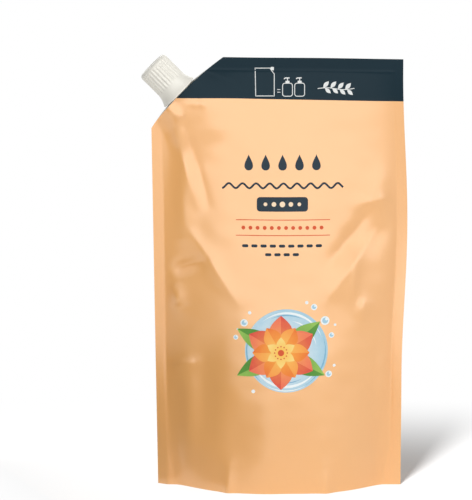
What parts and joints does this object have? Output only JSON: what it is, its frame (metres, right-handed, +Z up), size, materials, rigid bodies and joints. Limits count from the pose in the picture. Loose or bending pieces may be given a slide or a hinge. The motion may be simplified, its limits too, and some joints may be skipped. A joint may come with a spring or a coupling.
{
  "type": "hand soap refill pack",
  "caption": "Stand-up film pouch of liquid hand soap with a ribbed screw cap on a spout welded into its cut corner.",
  "frame": {"origin": "on the floor under the middle of the base, where the gusset's flat patch rests", "axes": "+Z up, the printed front faces -Y, +X to the right seen from the front, the spout leaves the upper left corner at 45 degrees"},
  "size_m": [0.1454, 0.0544, 0.238],
  "materials": {
    "printed_film": "satin laminated film, apricot with a dark slate-blue header band",
    "spout_polyethylene": "moulded off-white polyethylene, satin",
    "cap_polypropylene": "moulded off-white polypropylene, satin",
    "liner_foam": "expanded polyethylene foam, matt"
  },
  "bodies": {
    "pack": {"pouch": "printed_film", "spout": "spout_polyethylene"},
    "liner": {"cap_liner": "liner_foam"},
    "screw_cap": {"cap": "cap_polypropylene"}
  },
  "joints": [
    {"name": "cap_lift", "type": "slide", "parent": "pack", "child": "liner", "axis": [-0.7071, 0, 0.7071], "range_m": [0, 0.006]},
    {"name": "cap_turn", "type": "hinge", "parent": "liner", "child": "screw_cap", "pos_m": [-0.05436, 0, 0.217], "axis": [-0.7071, 0, 0.7071], "range_deg": [0, 720]}
  ],
  "couplings": [
    {"joint": "cap_lift", "follows": "cap_turn", "m_per_rad": 0.00047746}
  ]
}
